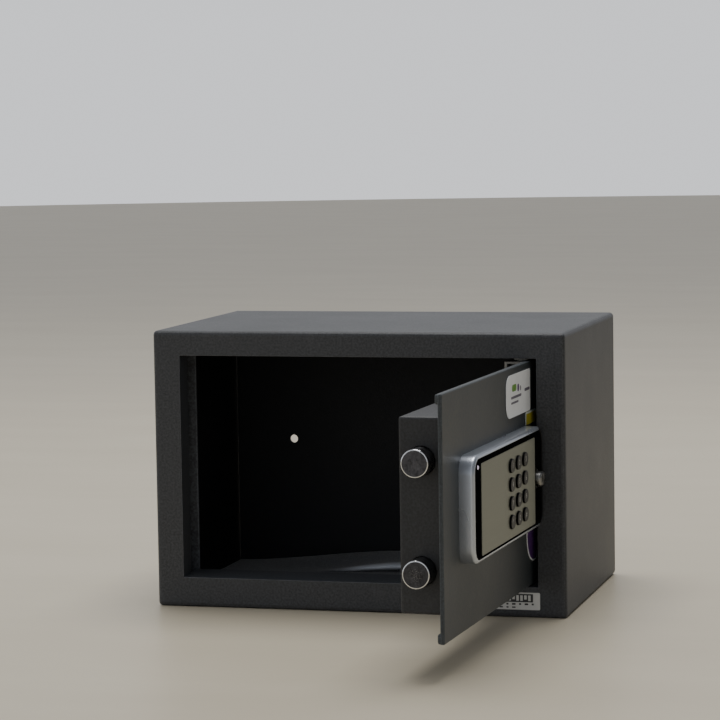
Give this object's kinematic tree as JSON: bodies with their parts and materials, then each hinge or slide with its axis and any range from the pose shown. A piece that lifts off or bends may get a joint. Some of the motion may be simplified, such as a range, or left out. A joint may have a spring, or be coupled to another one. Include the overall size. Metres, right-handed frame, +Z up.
{
  "type": "in_room_safe",
  "caption": "Compact steel in-room safe with a right-hinged keypad door standing open, live round bolts, turn knob and lock case.",
  "frame": {"origin": "centre of the safe's underside, on the surface it stands on", "axes": "X is the width, to the right seen from the front; Y is the depth, towards the back panel; Z is up"},
  "size_m": [0.31, 0.4337, 0.206],
  "materials": {
    "body_coat": "fine-textured charcoal powder coat, 2 mm sheet",
    "door_coat": "fine-textured charcoal powder coat",
    "floor_lining": "dark needle-felt mat",
    "plated_steel": "bright zinc plate",
    "spring_steel": "bare spring wire",
    "chromed_steel": "polished chrome, turned end faces",
    "chromed_zinc": "polished chrome",
    "silver_plastic": "satin silver paint",
    "gloss_plastic": "gloss black",
    "brushed_plate": "brushed along its length",
    "key_rubber": "satin",
    "circuit_board": "solder mask",
    "nylon": "moulded, natural",
    "copper_coil": "taped winding",
    "cell_jacket": "printed foil jacket",
    "lamp_lens": "clear tinted",
    "reset_plastic": "satin",
    "cable_jacket": "satin",
    "white_label": "printed film",
    "yellow_label": "printed film",
    "purple_label": "printed film"
  },
  "bodies": {
    "safe_body": {"body_shell": "body_coat", "back_panel": "body_coat", "bolt_keeper": "body_coat", "floor_mat": "floor_lining", "hinge_pin_upper": "plated_steel", "hinge_pin_lower": "plated_steel", "hinge_washer_upper": "nylon", "hinge_washer_lower": "nylon", "frame_label": "white_label"},
    "knob": {"knob_grip": "chromed_zinc", "knob_spindle": "plated_steel", "drive_cam": "plated_steel"},
    "bolt_work": {"bolt_carriage": "plated_steel", "bolt_upper": "chromed_steel", "bolt_lower": "chromed_steel"},
    "plunger": {"solenoid_plunger": "chromed_steel"},
    "reset": {"reset_button": "reset_plastic"},
    "key_row1_col1_body": {"key_row1_col1": "key_rubber"},
    "key_row1_col2_body": {"key_row1_col2": "key_rubber"},
    "key_row1_col3_body": {"key_row1_col3": "key_rubber"},
    "key_row2_col1_body": {"key_row2_col1": "key_rubber"},
    "key_row2_col2_body": {"key_row2_col2": "key_rubber"},
    "key_row2_col3_body": {"key_row2_col3": "key_rubber"},
    "key_row3_col1_body": {"key_row3_col1": "key_rubber"},
    "key_row3_col2_body": {"key_row3_col2": "key_rubber"},
    "key_row3_col3_body": {"key_row3_col3": "key_rubber"},
    "key_row4_col1_body": {"key_row4_col1": "key_rubber"},
    "key_row4_col2_body": {"key_row4_col2": "key_rubber"},
    "key_row4_col3_body": {"key_row4_col3": "key_rubber"},
    "door": {"door_plate": "door_coat", "lock_case": "door_coat", "hinge_block_upper": "plated_steel", "hinge_block_lower": "plated_steel", "case_screw_upper": "plated_steel", "case_screw_lower": "plated_steel", "carriage_guide_left": "plated_steel", "carriage_guide_right": "plated_steel", "solenoid_frame": "plated_steel", "plunger_spring": "spring_steel", "fascia_bezel": "silver_plastic", "fascia_inset": "gloss_plastic", "keypad_plate": "brushed_plate", "keypad_mat": "key_rubber", "main_board": "circuit_board", "keypad_board": "circuit_board", "bolt_bush_upper": "nylon", "bolt_bush_lower": "nylon", "battery_box": "nylon", "battery_cover": "nylon", "solenoid_coil": "copper_coil", "cell_1": "cell_jacket", "cell_2": "cell_jacket", "cell_3": "cell_jacket", "cell_4": "cell_jacket", "led_lens": "lamp_lens", "control_cable": "cable_jacket", "door_label": "white_label", "tag_upper": "yellow_label", "tag_lower": "purple_label"}
  },
  "joints": [
    {"name": "door_hinge", "type": "hinge", "parent": "safe_body", "child": "door", "pos_m": [0.12, -0.081, 0.10495], "axis": [0, 0, 1], "range_deg": [-87.88, 8]},
    {"name": "bolt_slide", "type": "slide", "parent": "door", "child": "bolt_work", "axis": [-0.037, -0.9993, 0], "range_m": [0, 0.017]},
    {"name": "knob_turn", "type": "hinge", "parent": "door", "child": "knob", "pos_m": [0.13867, -0.11722, 0.1037], "axis": [0.9993, -0.037, 0], "range_deg": [0, 90]},
    {"name": "plunger_slide", "type": "slide", "parent": "door", "child": "plunger", "axis": [0, 0, 1], "range_m": [-0.004, 0], "stiffness_N_per_m": 150, "springref_m": 0.003, "deforming": ["plunger_spring"]},
    {"name": "reset_press", "type": "slide", "parent": "door", "child": "reset", "axis": [0.9993, -0.037, 0], "range_m": [0, 0.0015], "stiffness_N_per_m": 400, "springref_m": -0.001},
    {"name": "key_row1_col1_press", "type": "slide", "parent": "door", "child": "key_row1_col1_body", "axis": [-0.9993, 0.037, 0], "range_m": [0, 0.0012], "stiffness_N_per_m": 400, "springref_m": -0.001},
    {"name": "key_row1_col2_press", "type": "slide", "parent": "door", "child": "key_row1_col2_body", "axis": [-0.9993, 0.037, 0], "range_m": [0, 0.0012], "stiffness_N_per_m": 400, "springref_m": -0.001},
    {"name": "key_row1_col3_press", "type": "slide", "parent": "door", "child": "key_row1_col3_body", "axis": [-0.9993, 0.037, 0], "range_m": [0, 0.0012], "stiffness_N_per_m": 400, "springref_m": -0.001},
    {"name": "key_row2_col1_press", "type": "slide", "parent": "door", "child": "key_row2_col1_body", "axis": [-0.9993, 0.037, 0], "range_m": [0, 0.0012], "stiffness_N_per_m": 400, "springref_m": -0.001},
    {"name": "key_row2_col2_press", "type": "slide", "parent": "door", "child": "key_row2_col2_body", "axis": [-0.9993, 0.037, 0], "range_m": [0, 0.0012], "stiffness_N_per_m": 400, "springref_m": -0.001},
    {"name": "key_row2_col3_press", "type": "slide", "parent": "door", "child": "key_row2_col3_body", "axis": [-0.9993, 0.037, 0], "range_m": [0, 0.0012], "stiffness_N_per_m": 400, "springref_m": -0.001},
    {"name": "key_row3_col1_press", "type": "slide", "parent": "door", "child": "key_row3_col1_body", "axis": [-0.9993, 0.037, 0], "range_m": [0, 0.0012], "stiffness_N_per_m": 400, "springref_m": -0.001},
    {"name": "key_row3_col2_press", "type": "slide", "parent": "door", "child": "key_row3_col2_body", "axis": [-0.9993, 0.037, 0], "range_m": [0, 0.0012], "stiffness_N_per_m": 400, "springref_m": -0.001},
    {"name": "key_row3_col3_press", "type": "slide", "parent": "door", "child": "key_row3_col3_body", "axis": [-0.9993, 0.037, 0], "range_m": [0, 0.0012], "stiffness_N_per_m": 400, "springref_m": -0.001},
    {"name": "key_row4_col1_press", "type": "slide", "parent": "door", "child": "key_row4_col1_body", "axis": [-0.9993, 0.037, 0], "range_m": [0, 0.0012], "stiffness_N_per_m": 400, "springref_m": -0.001},
    {"name": "key_row4_col2_press", "type": "slide", "parent": "door", "child": "key_row4_col2_body", "axis": [-0.9993, 0.037, 0], "range_m": [0, 0.0012], "stiffness_N_per_m": 400, "springref_m": -0.001},
    {"name": "key_row4_col3_press", "type": "slide", "parent": "door", "child": "key_row4_col3_body", "axis": [-0.9993, 0.037, 0], "range_m": [0, 0.0012], "stiffness_N_per_m": 400, "springref_m": -0.001}
  ],
  "couplings": [
    {"joint": "knob_turn", "follows": "bolt_slide", "rad_per_m": 92}
  ]
}
